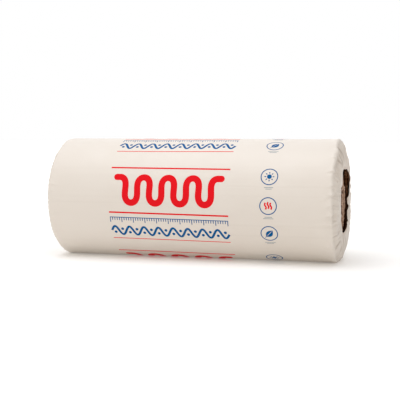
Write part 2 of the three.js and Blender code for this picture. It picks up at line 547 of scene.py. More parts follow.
def quads(rows, cols, row_ids, flip):
    """Faces between consecutive rows of a closed grid. row_ids gives each row's first vertex."""
    j = np.arange(cols)
    k = (j + 1) % cols
    out = []
    for a, b in zip(row_ids[:-1], row_ids[1:]):
        q = np.stack([a + j, a + k, b + k, b + j], axis=1)
        out.append(q[:, ::-1] if flip else q)
    return np.concatenate(out)


def mark_sharp(me, limit):
    """Edges whose faces meet at more than limit degrees are sharp."""
    me.set_sharp_from_angle(angle=math.radians(limit))


film_turns = columns()


def make_film():
    half = film_rows()
    spec = [(k, v, 1) for k, v in half]
    spec = spec + [("side", 0.0, 1)] + [(k, v, -1) for k, v in reversed(half)]
    pts, ends, lows, darks, radii = [], [], [], [], []
    for kind, value, side in spec:
        r, x, on_end, low, dark = film_shape(film_turns, kind, value, side)
        radii.append(r)
        pts.append(place(r, x, film_turns))
        ends.append(on_end)
        lows.append(low)
        darks.append(dark)
    outer, ends, lows, darks = np.array(pts), np.array(ends), np.array(lows), np.array(darks)
    rims = [1 - smooth((r - radii[0 if side > 0 else -1]) / 0.018) for r, (kind, value, side) in zip(radii, spec)]
    rims = np.array(rims) * ends
    normal = grid_normals(outer)
    middle = len(half)
    if np.sum(normal[middle, 0] * (outer[middle, 0] - outer[middle].mean(0))) < 0:
        normal = -normal
    n, c = len(spec), COLUMNS
    sides = [i for i in range(n) if spec[i][0] == "side"]
    keep = [
        i
        for i in range(n)
        if (spec[i][0] == "side" and ((i - sides[0]) % 4 == 0 or i == sides[-1]))
        or (spec[i][0] != "side" and (i % 2 == 0 or i in (0, n - 1)))
    ]
    inner = outer[keep] - normal[keep] * FILM
    points = np.concatenate([outer.reshape(-1, 3), inner.reshape(-1, 3)])
    outer_ids = [i * c for i in range(n)]
    inner_ids = [(n + i) * c for i in range(len(keep))]
    faces = [
        quads(n, c, outer_ids, False),
        quads(len(keep), c, inner_ids, True),
        quads(2, c, [inner_ids[0], outer_ids[0]], False),
        quads(2, c, [outer_ids[-1], inner_ids[-1]], False),
    ]
    counts = [len(f) for f in faces]
    me = build_mesh("roll_film", points, np.concatenate(faces))
    set_attribute(me, "on_end", np.concatenate([ends.ravel(), ends[keep].ravel()]))
    set_attribute(me, "low", np.concatenate([lows.ravel(), lows[keep].ravel()]))
    set_attribute(me, "crease_shade", np.concatenate([darks.ravel(), darks[keep].ravel()]))
    set_attribute(me, "rim", np.concatenate([rims.ravel(), rims[keep].ravel()]))
    mark_sharp(me, 50)

    # a map that unrolls the outside, with the inside as a narrow strip beside it
    lengths = np.linalg.norm(np.diff(outer, axis=0), axis=2).mean(1)
    v_all = np.concatenate([[0], np.cumsum(lengths)]) / lengths.sum()
    vi = np.empty(len(me.loops), np.int32)
    me.loops.foreach_get("vertex_index", vi)
    row, col = np.divmod(vi.reshape(-1, 4), c)
    wraps = (col.max(1) == c - 1) & (col.min(1) == 0)
    u = np.where(wraps[:, None] & (col == 0), c, col) / c
    inside = row >= n
    v = np.where(inside, 0, v_all[np.where(inside, 0, row)])
    v_in = 0.012 + 0.976 * v_all[keep]
    v = np.where(inside, v_in[np.clip(row - n, 0, len(keep) - 1)], v)
    inner_face = np.arange(len(vi) // 4) >= counts[0]
    u = np.where(inner_face[:, None], 0.972 + 0.022 * u, 0.004 + 0.962 * u)
    v = 0.004 + 0.992 * v
    uv = me.uv_layers.new(name="OFBake")
    uv.data.foreach_set("uv", np.stack([u, v], axis=2).astype(np.float32).ravel())
    print("film triangles", 2 * sum(counts))
    return add_object(me), outer, normal, spec


film, film_grid, film_normal, film_spec = make_film()


# ---------------------------------------------------------------- print
# Motifs are drawn flat, in metres: x along the roll, and down from the top line
# of the print. A shape is (ink, [points]); a later shape covers an earlier one,
# and ink None leaves the film bare.
RED, BLUE, STEEL = "red", "blue", "steel"
PRINT_TOP = math.radians(33.2)
PRINT_STEP = math.radians(90.6)


def rect(x0, y0, x1, y1):
    return [(x0, y0), (x1, y0), (x1, y1), (x0, y1)]


def disc(cx, cy, r, n=28, start=0.0):
    return [
        (cx + r * math.cos(start + 2 * math.pi * i / n), cy + r * math.sin(start + 2 * math.pi * i / n))
        for i in range(n)
    ]


def stroke(path, width):
    """The outline of a line of that width along a smooth open path."""
    p = np.array(path, float)
    t = np.gradient(p, axis=0)
    t /= np.linalg.norm(t, axis=1, keepdims=True)
    side = np.stack([-t[:, 1], t[:, 0]], axis=1) * width / 2
    return [tuple(q) for q in np.concatenate([p + side, (p - side)[::-1]])]


def quilt_band(x0, x1, y0, y1, runs, width):
    """The looped line that drawings use for soft insulation, with a short tail at each end."""
    mid, tall = (y0 + y1) / 2, (y1 - y0) / 2 - width / 2
    tail = 0.5 * width
    left, right = x0 + width / 2 + tail, x1 - width / 2 - tail
    step = (right - left) / runs
    path = [(left - tail, mid - tall), (left - tail * 0.5, mid - tall)]
    n = 26 * runs
    for i in range(n + 1):
        s = i / n * runs
        path.append(
            (
                left + step * s + 0.19 * step * math.sin(2 * math.pi * s),
                mid - tall * math.cos(math.pi * s),
            )
        )
    last = mid - tall * math.cos(math.pi * runs)
    path += [(right + tail * 0.5, last), (right + tail, last)]
    return [stroke(path, width), disc(left - tail, mid - tall, width / 2), disc(right + tail, last, width / 2)]


def wave(x0, x1, y, tall, count, width):
    n = 22 * count
    return stroke(
        [
            (x0 + (x1 - x0) * i / n, y - tall * math.sin(2 * math.pi * count * i / n))
            for i in range(n + 1)
        ],
        width,
    )


def ring(cx, cy, r, line, ink=BLUE):
    return [(ink, disc(cx, cy, r, 44)), (None, disc(cx, cy, r - line, 44))]


def icon_sun(x, y, s):
    cx, cy = x + s / 2, y + s / 2
    shapes = [(BLUE, disc(cx, cy, 0.18 * s, 24))]
    for k in range(8):
        a = math.pi / 4 * k
        u, v = math.cos(a), math.sin(a)
        inner, outer, w = 0.245 * s, 0.375 * s, 0.045 * s
        shapes.append(
            (
                BLUE,
                [
                    (cx + inner * u - w * v, cy + inner * v + w * u),
                    (cx + outer * u - w * v * 0.5, cy + outer * v + w * u * 0.5),
                    (cx + outer * u + w * v * 0.5, cy + outer * v - w * u * 0.5),
                    (cx + inner * u + w * v, cy + inner * v - w * u),
                ],
            )
        )
    return shapes


def icon_warmth(x, y, s):
    shapes = []
    for k, up in ((-1, 0.0), (0, 0.05), (1, 0.0)):
        cx = x + s / 2 + k * 0.2 * s
        path = [
            (cx + 0.055 * s * math.sin(2 * math.pi * i / 20), y + (0.74 - up - 0.48 * i / 20) * s)
            for i in range(21)
        ]
        shapes.append((RED, stroke(path, 0.115 * s)))
    return shapes


def icon_leaf(x, y, s):
    """A leaf on its stalk."""
    a, b = (x + 0.27 * s, y + 0.76 * s), (x + 0.76 * s, y + 0.22 * s)
    ax, ay = b[0] - a[0], b[1] - a[1]
    px, py = -ay, ax
    left, right = [], []
    for i in range(17):
        t = i / 16
        swell = 0.38 * math.sin(math.pi * t) ** 0.8 * (1.12 - 0.3 * t)
        bx, by = a[0] + ax * t, a[1] + ay * t
        left.append((bx + px * swell, by + py * swell))
        right.append((bx - px * swell * 0.86, by - py * swell * 0.86))

    def along(*ts):
        return [(a[0] + ax * t, a[1] + ay * t) for t in ts]

    shapes = [(BLUE, left + right[-2:0:-1])]
    shapes.append((None, stroke(along(0.14, 0.5, 0.86), 0.035 * s)))
    shapes.append((BLUE, stroke(along(-0.18, 0.0, 0.16), 0.05 * s)))
    return shapes


def motif_groups():
    """Groups of shapes of one repeat of the print, each with whether it is part of the wide band. Each group is cut on its own."""
    groups = []
    x0, x1 = -0.3185, 0.1785
    tall = 0.1925
    # the large red band
    groups.append((True, [(RED, rect(x0, 0.0, x1, 0.0062))]))
    groups.append((True, [(RED, rect(x0, tall - 0.0062, x1, tall))]))
    loops = quilt_band(x0 + 0.018, x1 - 0.018, 0.031, tall - 0.031, 8, 0.0265)
    groups.append((True, [(RED, shape) for shape in loops]))
    # a rule with ticks under it
    ticks = [(BLUE, rect(x0 + 0.002, 0.2085, x1 - 0.002, 0.2115))]
    count = 50
    for k in range(count + 1):
        x = x0 + 0.002 + (x1 - x0 - 0.0073) * k / count
        high = 0.0215 if k % 5 == 0 else 0.0125
        ticks.append((BLUE, rect(x, 0.2100, x + 0.0033, 0.2100 + high)))
    groups.append((True, ticks))
    # the blue row
    row = 0.2700
    groups.append((True, [(BLUE, wave(x0 + 0.004, x1 - 0.002, row, 0.0195, 8, 0.0094))]))
    dots = []
    for k in range(8):
        step = (x1 - x0 - 0.006) / 8
        left = x0 + 0.004 + step * k
        dots.append((BLUE, disc(left + step * 0.25, row + 0.0080, 0.0062, 18)))
        dots.append((BLUE, disc(left + step * 0.75, row - 0.0080, 0.0062, 18)))
    groups.append((True, dots))
    groups.append((True, [(RED, rect(x0 + 0.002, 0.3085, x1 - 0.002, 0.3120))]))
    # the column of round badges
    cx, size, outer = 0.3372, 0.0530, 0.0345
    for k, icon in enumerate((icon_sun, icon_warmth, icon_leaf)):
        cy = 0.0345 + 0.1160 * k
        groups.append((False, ring(cx, cy, outer, 0.0037) + icon(cx - size / 2, cy - size / 2, size)))
        for j, wide in enumerate(((0.036, 0.024), (0.030, 0.040), (0.042, 0.028))[k]):
            y = cy + outer + 0.0085 + 0.0060 * j
            groups.append((False, [(STEEL, rect(cx - wide / 2, y, cx + wide / 2, y + 0.0022))]))
    return groups


# How far the film is turned at the right end of the wide band, in degrees, by
# the angle round the roll. It isn't quite square on the roll.
CREEP = [
    (0, 1.0), (33, 0.5), (57, -0.6), (75, -0.9), (120, 0.0), (200, 0.0), (260, 0.8),
    (300, 1.5), (320, 1.3), (350, 1.15),
]


def creep(x, turn, wide):
    if wide:
        share = np.clip((x + 0.3185) / 0.497, 0, 1)
        return np.radians(-by_angle(turn, CREEP) * share)
    return np.radians(by_angle(turn, [(0, 0.0), (34, 0.1), (52, 1.3), (75, 1.4), (120, 0.6), (200, 0.3), (290, 1.0), (318, 0.4)]))


def counter_clockwise(points):
    a = sum(p[0] * q[1] - q[0] * p[1] for p, q in zip(points, points[1:] + points[:1]))
    return points if a > 0 else points[::-1]


def cut_group(shapes, top, stations, turns):
    """Triangles of a group's shapes, cut along lines round and along the roll, as (points (x, turn), triangles, inks)."""
    MM = 1000.0
    verts, faces, inks = [], [], []
    for ink, pts in shapes:
        pts = counter_clockwise([(p[0] * MM, (top - p[1] / RADIUS) * RADIUS * MM) for p in pts])
        base = len(verts)
        verts += [Vector(p) for p in pts]
        faces.append(list(range(base, base + len(pts))))
        inks.append(ink)
    a = np.array([tuple(v) for v in verts])
    (ax, ay), (bx, by) = a.min(0) - 0.5, a.max(0) + 0.5
    edges = []
    for s in stations * MM:
        if ax < s < bx:
            base = len(verts)
            verts += [Vector((s, ay)), Vector((s, by))]
            edges.append((base, base + 1))
    for t in turns * RADIUS * MM:
        if ay < t < by:
            base = len(verts)
            verts += [Vector((ax, t)), Vector((bx, t))]
            edges.append((base, base + 1))
    v, _, f, _, _, origin = delaunay_2d_cdt(verts, edges, faces, 0, 1e-5, True)
    points = np.array([tuple(p) for p in v]) / MM
    points[:, 1] /= RADIUS
    tris, ink_of = [], []
    for tri, src in zip(f, origin):
        if not src or len(tri) != 3:
            continue
        ink = inks[max(src)]
        if ink is None:
            continue
        p = points[list(tri)]
        area = abs(
            (p[1, 0] - p[0, 0]) * (p[2, 1] - p[0, 1]) - (p[2, 0] - p[0, 0]) * (p[1, 1] - p[0, 1])
        )
        if area * RADIUS < 1e-10:
            continue
        # the print ends at the edges of the film
        if not SEAM - 2 * math.pi < p[:, 1].mean() < SEAM:
            continue
        tris.append(tri)
        ink_of.append(ink)
    return points, tris, ink_of


def make_print():
    side = [i for i, (k, _, _) in enumerate(film_spec) if k == "side"]
    stations = np.array([film_grid[i, :, 0].mean() for i in side])
    order = np.argsort(stations)
    rows = np.array(side)[order]
    stations = np.array([film_spec[i][1] * film_spec[i][2] for i in rows])
    grid = film_grid[rows]
    norm = film_normal[rows]
    turns = film_turns

    def on_film(x, turn, lift):
        t = turn % (2 * np.pi)
        j = np.clip(np.searchsorted(turns, t, side="right") - 1, 0, COLUMNS - 1)
        k = (j + 1) % COLUMNS
        span = np.where(j == COLUMNS - 1, 2 * np.pi - turns[-1], turns[k] - turns[j])
        v = (t - turns[j]) / span
        i = np.clip(np.searchsorted(stations, x, side="right") - 1, 0, len(stations) - 2)
        u = (x - stations[i]) / (stations[i + 1] - stations[i])
        u, v = np.clip(u, 0, 1)[:, None], np.clip(v, 0, 1)[:, None]

        def mix(g):
            return (g[i, j] * (1 - v) + g[i, k] * v) * (1 - u) + (g[i + 1, j] * (1 - v) + g[i + 1, k] * v) * u

        n = mix(norm)
        n /= np.linalg.norm(n, axis=1, keepdims=True)
        return mix(grid) + n * lift

    lines = np.union1d(turns[::2], [SEAM])
    lines = np.concatenate([lines - 4 * np.pi, lines - 2 * np.pi, lines, lines + 2 * np.pi])
    points, tris, mats = [], [], []
    order_of = {RED: 0, BLUE: 1, STEEL: 2}
    total = 0
    for k in range(-2, 3):
        top = PRINT_TOP + PRINT_STEP * k
        for wide, shapes in motif_groups():
            p, t, inks = cut_group(shapes, top, stations, lines)
            if not t:
                continue
            t = np.array(t)
            used, back = np.unique(t, return_inverse=True)
            t = back.reshape(-1, 3)
            p = p[used]
            # faces look outwards
            a, b, c = (p[t[:, i]] for i in range(3))
            turned = (b[:, 0] - a[:, 0]) * (c[:, 1] - a[:, 1]) - (c[:, 0] - a[:, 0]) * (b[:, 1] - a[:, 1]) < 0
            t[turned] = t[turned][:, ::-1]
            moved = p[:, 1] + creep(p[:, 0], p[:, 1], wide)
            moved = np.clip(moved, SEAM - 2 * math.pi + 0.0037, SEAM - 0.0002)
            upper = on_film(p[:, 0], moved, 0.00016)
            lower = on_film(p[:, 0], moved, -0.00012)
            n = len(p)
            # the border of the patch gets a wall down into the film
            e = np.concatenate([t[:, [0, 1]], t[:, [1, 2]], t[:, [2, 0]]])
            key = {(int(i), int(j)) for i, j in e}
            rim = np.array([(i, j) for i, j in sorted(key) if (j, i) not in key])
            ink = np.array([order_of[i] for i in inks])
            by_edge = {}
            for f_id, tri in enumerate(t):
                for i, j in ((0, 1), (1, 2), (2, 0)):
                    by_edge[(int(tri[i]), int(tri[j]))] = ink[f_id]
            wall = np.concatenate(
                [
                    np.stack([rim[:, 1], rim[:, 0], rim[:, 0] + n], axis=1),
                    np.stack([rim[:, 1], rim[:, 0] + n, rim[:, 1] + n], axis=1),
                ]
            )
            rim_ink = np.array([by_edge[(int(i), int(j))] for i, j in rim])
            points.append(np.concatenate([upper, lower]))
            tris.append(np.concatenate([t, t[:, ::-1] + n, wall]) + total)
            mats.append(np.concatenate([ink, ink, rim_ink, rim_ink]))
            total += 2 * n
    me = build_mesh("film_print", np.concatenate(points), np.concatenate(tris))
    me.polygons.foreach_set("material_index", np.concatenate(mats).astype(np.int32))
    mark_sharp(me, 50)
    print("print triangles", len(me.polygons))
    return add_object(me)


ink = make_print()


# ---------------------------------------------------------------- wool
def wool_relief(r, turn, side):
    """The wool's end face on a grid of r and turn: depth behind the end's plane, and for its colours how light it is
    painted (painted light and shade on its crests and hollows), the painted shade in its gaps, tears and next to the
    film, and how level it is.
    """
    wobble = (
        0.15 * round_noise(turn, r, 7, 0.06, 41 + side)
        + 0.08 * round_noise(turn, r, 19, 0.03, 43 + side)
        + 0.05 * round_noise(turn, r, 53, 0.014, 44 + side)
    )
    q = r / PITCH - side * turn / (2 * np.pi) + wobble
    number = np.floor(q)
    place_on = number + side * turn / (2 * np.pi)  # along the mat, in turns from its start
    q = q - number
    length = np.pi * PITCH * np.clip(place_on, 0, None) ** 2  # and in metres
    # each turn lies at a depth of its own
    middle = 0.25 * r + 0.75 * (place_on + 0.5 - wobble) * PITCH
    level = level_share(middle, turn, side)
    edge = opening(turn, side)
    film_at = hang(r, turn, side)
    inwards = smooth((edge + 0.006 - middle) / 0.050)
    sunk = 0.0040 + film_at * (1 - inwards) + 0.021 * inwards
    up = smooth((0.150 - middle) / 0.056)
    proud = 0.0012 + film_at * (1 - up) + 0.0007 * up
    uneven = noise2(length / 0.17, 0.37, 57 + side, around=256)
    uneven = uneven + 0.5 * noise2(length / 0.06, 0.71, 59 + side, around=256)
    # gaps between the turns, here open and there closed
    open_ = smooth(0.55 + 0.9 * noise2(length / 0.055, number * 0.37, 45 + side, around=256))
    wide = 0.07 + 0.07 * open_
    gap = np.exp(-((np.minimum(q, 1 - q) / wide) ** 2)) * (0.25 + 0.75 * open_)
    # the mat is made of thin layers, which part here and there
    layer = noise2(length / 0.034, q * 4.6 + 5.3 * number, 47 + side, around=256)
    thin = noise2(length / 0.022, q * 8.7 + 9.1 * number, 48 + side, around=256)
    parting = smooth((layer - 0.30) / 0.35)
    bulge = 0.0022 * np.sin(np.pi * q) ** 0.8
    # tufts
    tuft = round_noise(turn + 0.3 * r, r, 31, 0.011, 51 + side)
    tuft = 0.5 * tuft + 0.5 * (0.6 - 2.0 * np.abs(round_noise(turn, r, 61, 0.0078, 53 + side)))
    fine = round_noise(turn, r, 151, 0.0046, 55 + side)
    loose = smooth((0.152 - r) / 0.03) * (1 - 0.55 * level)
    depth = (
        sunk * (1 - level)
        + proud * level
        + 0.006 * smooth((0.050 - r) / 0.03) * (1 - 0.5 * level)
        + (0.0012 + 0.0066 * loose) * gap
        + (0.0005 + 0.0024 * loose) * parting
        + 0.0009 * thin
        - bulge * (0.35 + 0.65 * loose)
        - 0.0019 * tuft * (0.6 + 0.6 * loose)
        - 0.0009 * fine
        - 0.0048 * uneven * loose
    )
    hollow_shade = np.zeros_like(depth)
    for across, up_, half, tall, much in TEARS[side]:
        a = (-r * np.cos(turn) - across) / half
        b = (r * np.sin(turn) - up_ + 0.0022 * fine) / tall
        hollow_shade = np.maximum(hollow_shade, much * np.exp(-((a * a + b * b) ** 1.5)))
    depth = depth + 0.0045 * hollow_shade
    # under the film it stays clear of the film's folds
    under = smooth((r - edge + 0.002) / 0.008)
    depth = np.maximum(depth, 0.0004) * (1 - under) + (film_at + 0.0066 + 0.4 * np.clip(depth - film_at, 0, 0.004)) * under
    # crests catch the light, and hollows hold none
    around = blur(depth, 5, 4)
    wider = blur(depth, 11, 9)
    light = 0.5 + 0.20 * (around - depth) / 0.0010 * 0.5 + 0.16 * (wider - depth) / 0.0030
    light = light + 0.10 * thin + 0.12 * layer + 0.10 * uneven
    wall = np.abs(np.gradient(depth, axis=0) / np.gradient(r, axis=0))
    light = light - 0.75 * smooth((wall - 0.7) / 1.6)
    # painted shade: the sunk wool under and next to the film's edge is darkened in its colour
    slot = smooth((r - edge + 0.004) / 0.006) * (1 - level)
    slot = np.maximum(slot, by_angle(turn, SHADE[side]) * smooth((r - edge + 0.042) / 0.022) * (1 - level))
    # painted shade in the gaps between the turns and where the layers part
    dark = np.clip(gap * loose * (0.74 + 0.5 * layer) + 0.6 * parting * loose, 0, 1)
    dark = np.maximum(dark, hollow_shade)
    return depth, np.clip(light, -0.3, 1), np.maximum(dark, slot), level


def blur(grid, rows, cols):
    """A moving average of a grid whose columns close round."""
    out = np.zeros_like(grid)
    pad = np.pad(grid, ((rows, rows), (0, 0)), mode="edge")
    for i in range(2 * rows + 1):
        out += pad[i : i + len(grid)]
    out /= 2 * rows + 1
    total = np.zeros_like(out)
    for j in range(-cols, cols + 1):
        total += np.roll(out, j, axis=1)
    return total / (2 * cols + 1)


def make_wool():
    cols = 400
    turn = np.arange(cols) * 2 * np.pi / cols
    rings = np.concatenate([np.linspace(BORE, 0.152, 88), np.linspace(0.1545, 0.196, 15), np.linspace(0.199, 0.215, 4)])

    def end_rows(side):
        r, t = np.meshgrid(rings, turn, indexing="ij")
        depth, light, gap, level = wool_relief(r, t, side)
        rr, back, nr, nx = outline(length_at(r))
        x = side * (HALF - back - depth * np.maximum(nx, 0.3))
        return list(zip(r - depth * nr, x, light, gap, level))

    def shoulder_rows(side):
        out = []
        for s in np.linspace(float(length_at(0.2145)), 0, 7)[1:]:
            rr, back, nr, nx = outline(np.full(cols, s))
            depth = 0.0070 + (0.0066 * np.exp(-(((s - 0.006) / 0.030) ** 2)) if side < 0 else 0)
            out.append((rr - depth * nr, side * (HALF - back - depth * nx), 0 * turn + 0.5, 0 * turn, 0 * turn))
        return out

    sequence = end_rows(1) + shoulder_rows(1)
    sequence += [(np.full(cols, RADIUS - 0.0070), np.full(cols, x), 0 * turn + 0.5, 0 * turn, 0 * turn) for x in (0.3, 0.0, -0.3)]
    sequence += shoulder_rows(-1)[::-1] + end_rows(-1)[::-1]
    # down the bore, back to the right end
    for x in (-0.57, -0.45, 0.0, 0.45, 0.57):
        wavy = BORE * (1 + 0.12 * round_noise(turn, x + 2, 9, 0.1, 61))
        # the bore is painted dark: no light and full painted shade, for the shade inside it
        sequence.append((wavy, np.full(cols, x), 0 * turn, 0 * turn + 1, 0 * turn))
    pts = np.array([place(row[0], row[1], turn) for row in sequence])
    n = len(sequence)
    ids = [i * cols for i in range(n)] + [0]
    me = build_mesh("rolled_wool", pts.reshape(-1, 3), quads(n, cols, ids, False))
    for i, name in ((2, "light"), (3, "gap"), (4, "level")):
        set_attribute(me, name, np.concatenate([row[i] for row in sequence]))
    print("wool triangles", 2 * len(me.polygons))
    return add_object(me)


wool = make_wool()


# ---------------------------------------------------------------- materials
class Nodes:
    """A short way to write a material's nodes."""

    def __init__(self, name):
        self.mat = bpy.data.materials.new(name)
        self.mat.use_nodes = True
        self.tree = self.mat.node_tree
        self.tree.nodes.clear()
        self.out = self.add("ShaderNodeOutputMaterial")
        self.bsdf = self.add("ShaderNodeBsdfPrincipled")
        self.link(self.bsdf.outputs[0], self.out.inputs["Surface"])

    def add(self, kind, **props):
        n = self.tree.nodes.new(kind)
        for k, v in props.items():
            setattr(n, k, v)
        return n

    def link(self, a, b):
        self.tree.links.new(a, b)

    def put(self, socket, value):
        if hasattr(value, "is_output"):
            self.link(value, socket)
        else:
            socket.default_value = value

    def coords(self, scale=(1, 1, 1)):
        c = self.add("ShaderNodeTexCoord")
        m = self.add("ShaderNodeMapping")
        m.inputs["Scale"].default_value = scale
        self.link(c.outputs["Object"], m.inputs["Vector"])
        return m.outputs["Vector"]

    def noise(self, vector, scale, detail=2.0, rough=0.5, distortion=0.0):
        n = self.add("ShaderNodeTexNoise")
        self.link(vector, n.inputs["Vector"])
        n.inputs["Scale"].default_value = scale
        n.inputs["Detail"].default_value = detail
        n.inputs["Roughness"].default_value = rough
        n.inputs["Distortion"].default_value = distortion
        return n.outputs["Fac"]

    def math(self, op, a, b=0.0, c=None, clamp=False):
        n = self.add("ShaderNodeMath", operation=op, use_clamp=clamp)
        self.put(n.inputs[0], a)
        self.put(n.inputs[1], b)
        if c is not None:
            self.put(n.inputs[2], c)
        return n.outputs[0]

    def ramp(self, value, low, high, to_low=0.0, to_high=1.0):
        n = self.add("ShaderNodeMapRange", interpolation_type="SMOOTHSTEP")
        self.put(n.inputs["Value"], value)
        for k, v in zip(("From Min", "From Max", "To Min", "To Max"), (low, high, to_low, to_high)):
            n.inputs[k].default_value = v
        return n.outputs["Result"]

    def mix(self, factor, a, b, blend="MIX"):
        n = self.add("ShaderNodeMix", data_type="RGBA", blend_type=blend)
        self.put(n.inputs["Factor"], factor)
        self.put(n.inputs["A"], (*a, 1) if isinstance(a, tuple) else a)
        self.put(n.inputs["B"], (*b, 1) if isinstance(b, tuple) else b)
        return n.outputs["Result"]

    def attribute(self, name):
        n = self.add("ShaderNodeAttribute", attribute_name=name)
        return n.outputs["Fac"]

    def bump(self, height, strength, distance, normal=None):
        n = self.add("ShaderNodeBump")
        self.link(height, n.inputs["Height"])
        n.inputs["Strength"].default_value = strength
        n.inputs["Distance"].default_value = distance
        if normal is not None:
            self.link(normal, n.inputs["Normal"])
        return n.outputs["Normal"]

    def set(self, **values):
        for k, v in values.items():
            socket = self.bsdf.inputs[k.replace("_", " ")]
            self.put(socket, (*v, 1) if isinstance(v, tuple) and len(v) == 3 else v)


def film_relief(n):
    """The small unevenness that the film and the ink on it share."""
    fine = n.noise(n.coords((1, 1, 1)), 95, 3, 0.55)
    drawn = n.noise(n.coords((0.22, 1, 1)), 60, 2, 0.5)
    height = n.math("ADD", n.math("MULTIPLY", fine, 0.5), n.math("MULTIPLY", drawn, 0.5))
    return n.bump(height, 0.20, 0.0010)


def film_material():
    n = Nodes("film")
    broad = n.noise(n.coords(), 3.2, 2, 0.5)
    cloud = n.noise(n.coords((0.6, 1, 1)), 14, 3, 0.55)
    base = n.mix(n.ramp(broad, 0.35, 0.65), (0.690, 0.628, 0.560), (0.678, 0.614, 0.544))
    base = n.mix(n.ramp(cloud, 0.42, 0.72, 0.0, 0.35), base, (0.700, 0.640, 0.572))
    # the ends are tinted darker and browner: partly painted shade, as they turn away from the light, and partly the
    # brown wool showing through their single layer
    on_end, low = n.attribute("on_end"), n.attribute("low")
    fleck = n.noise(n.coords(), 70, 3, 0.6)
    base = n.mix(n.math("MULTIPLY", on_end, 0.75), base, (0.626, 0.559, 0.491))
    # painted shade in the film's hollows, partly the brown wool showing where the film lies on it
    wool_and_shade = n.math("MULTIPLY", low, n.ramp(fleck, 0.30, 0.70, 0.20, 0.60))
    base = n.mix(wool_and_shade, base, (0.545, 0.465, 0.390))
    dust = n.math("MULTIPLY", n.attribute("rim"), n.ramp(n.noise(n.coords(), 110, 3, 0.65), 0.36, 0.64, 0.18, 0.95))
    base = n.mix(dust, base, (0.430, 0.290, 0.205))
    # painted shade in the creases and along the rim line, with the wool partly showing through
    base = n.mix(n.math("MULTIPLY", n.attribute("crease_shade"), 0.62), base, (0.300, 0.240, 0.186))
    rough = n.ramp(n.noise(n.coords(), 22, 3, 0.6), 0.3, 0.7, 0.38, 0.50)
    n.set(Base_Color=base, Roughness=rough, Normal=film_relief(n))
    n.set(IOR=1.5)
    n.bsdf.inputs["Specular IOR Level"].default_value = 0.40
    return n.mat


def ink_material(name, colour):
    n = Nodes(name)
    rough = n.ramp(n.noise(n.coords(), 22, 3, 0.6), 0.3, 0.7, 0.40, 0.52)
    n.set(Base_Color=colour, Roughness=rough, Normal=film_relief(n))
    n.set(IOR=1.5)
    n.bsdf.inputs["Specular IOR Level"].default_value = 0.06
    return n.mat


def wool_material():
    n = Nodes("wool")
    light, gap, level = n.attribute("light"), n.attribute("gap"), n.attribute("level")
    # the fibres lie along the turns, so the streaks run round the roll's axis
    c = n.add("ShaderNodeTexCoord")
    part = n.add("ShaderNodeSeparateXYZ")
    n.link(c.outputs["Object"], part.inputs[0])
    y, z = part.outputs["Y"], n.math("SUBTRACT", part.outputs["Z"], AXIS_Z)
    r = n.math("SQRT", n.math("ADD", n.math("MULTIPLY", y, y), n.math("MULTIPLY", z, z)))
    safe = n.math("MAXIMUM", r, 0.004)
    around = n.add("ShaderNodeCombineXYZ")
    n.link(n.math("MULTIPLY", n.math("DIVIDE", y, safe), 13.0), around.inputs[0])
    n.link(n.math("MULTIPLY", n.math("DIVIDE", z, safe), 13.0), around.inputs[1])
    n.link(n.math("ADD", n.math("MULTIPLY", r, 330.0), n.math("MULTIPLY", part.outputs["X"], 260.0)), around.inputs[2])
    streak = n.noise(around.outputs[0], 1.0, 5, 0.68, 0.6)
    fleck = n.noise(n.coords((1.6, 1, 1)), 260, 4, 0.72)
    speck = n.noise(n.coords(), 780, 3, 0.7)
    fibre = n.math("ADD", n.math("MULTIPLY", streak, 0.45), n.math("MULTIPLY", fleck, 0.30))
    fibre = n.math("ADD", fibre, n.math("MULTIPLY", speck, 0.25))
    clump = n.noise(n.coords(), 58, 3, 0.6)
    patch = n.noise(n.coords(), 14, 2, 0.5)
    # the light on the tufts and layers, broken up by the fibres
    tone = n.math("ADD", n.math("MULTIPLY", light, 0.8), n.math("MULTIPLY", n.math("SUBTRACT", fibre, 0.46), 4.2))
    tone = n.math("ADD", tone, n.math("MULTIPLY", n.math("SUBTRACT", clump, 0.5), 0.9))
    # sunk turns: painted dark, for the shade they lie in, over the wool's brown
    base = n.mix(n.ramp(tone, 0.0, 0.62), (0.0130, 0.0022, 0.0003), (0.080, 0.030, 0.0105))
    base = n.mix(n.ramp(tone, 0.50, 1.30), base, (0.250, 0.124, 0.060))
    base = n.mix(n.ramp(patch, 0.42, 0.62, 0.0, 0.40), base, (0.030, 0.0075, 0.0016))
    # level turns: painted paler, for the light that they catch
    painted_lit_wool = n.mix(n.ramp(tone, -0.05, 0.55), (0.105, 0.048, 0.026), (0.330, 0.200, 0.135))
    painted_lit_wool = n.mix(n.ramp(tone, 0.45, 1.20), painted_lit_wool, (0.560, 0.400, 0.305))
    ragged = n.math("ADD", level, n.math("MULTIPLY", n.math("SUBTRACT", fibre, 0.5), 3.4))
    ragged = n.math("ADD", ragged, n.math("MULTIPLY", n.math("SUBTRACT", clump, 0.5), 1.6))
    base = n.mix(n.ramp(ragged, 0.05, 1.05), base, painted_lit_wool)
    # painted shade from the gap attribute: the gaps between the turns, the torn places, the sunk wool by the film and
    # the bore, broken up by the fibres
    hollow_shade = n.math("ADD", gap, n.math("MULTIPLY", n.math("SUBTRACT", fibre, 0.5), -2.2))
    base = n.mix(n.ramp(hollow_shade, 0.30, 0.95, 0.0, 0.92), base, (0.0085, 0.0012, 0.0002))
    height = n.math("ADD", n.math("MULTIPLY", fibre, 0.8), n.math("MULTIPLY", clump, 0.5))
    n.set(Base_Color=base, Roughness=0.95, Normal=n.bump(height, 1.0, 0.009))
    n.bsdf.inputs["Specular IOR Level"].default_value = 0.0
    return n.mat


film.data.materials.append(film_material())
for name, colour in (
    ("ink_red", (0.700, 0.0060, 0.0120)),
    ("ink_blue", (0.0020, 0.0880, 0.2500)),
    ("ink_steel", (0.2200, 0.2700, 0.3000)),
):
    ink.data.materials.append(ink_material(name, colour))
wool.data.materials.append(wool_material())

